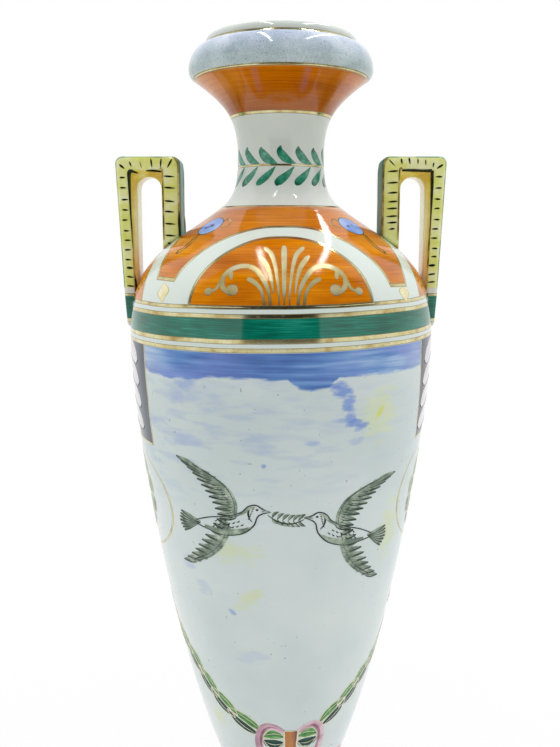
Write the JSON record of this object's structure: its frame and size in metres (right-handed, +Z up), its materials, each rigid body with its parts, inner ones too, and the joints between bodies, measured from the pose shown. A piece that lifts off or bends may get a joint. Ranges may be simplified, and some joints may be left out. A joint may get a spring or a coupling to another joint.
{
  "type": "ceramic vase",
  "caption": "Tall amphora vase on a pedestal foot, with a narrow neck, a rolled trumpet mouth and two angular loop handles on the shoulder.",
  "frame": {"origin": "middle of the foot ring, on the surface that the vase stands on", "axes": "+Z up along the axis of the vase; the handles lie along X and the painted front faces -Y"},
  "size_m": [0.2172, 0.2044, 0.6],
  "materials": {
    "ground_glaze": "clear glossy glaze over painted decoration, with gilt lines",
    "lip_glaze": "glossy speckled blue-grey glaze",
    "handle_glaze": "glossy lime-yellow glaze with dark brush marks and gilt edges"
  },
  "bodies": {
    "root": {"foot": "ground_glaze", "body": "ground_glaze", "neck": "ground_glaze", "lip": "lip_glaze", "handle_right": "handle_glaze", "handle_left": "handle_glaze"}
  },
  "joints": []
}
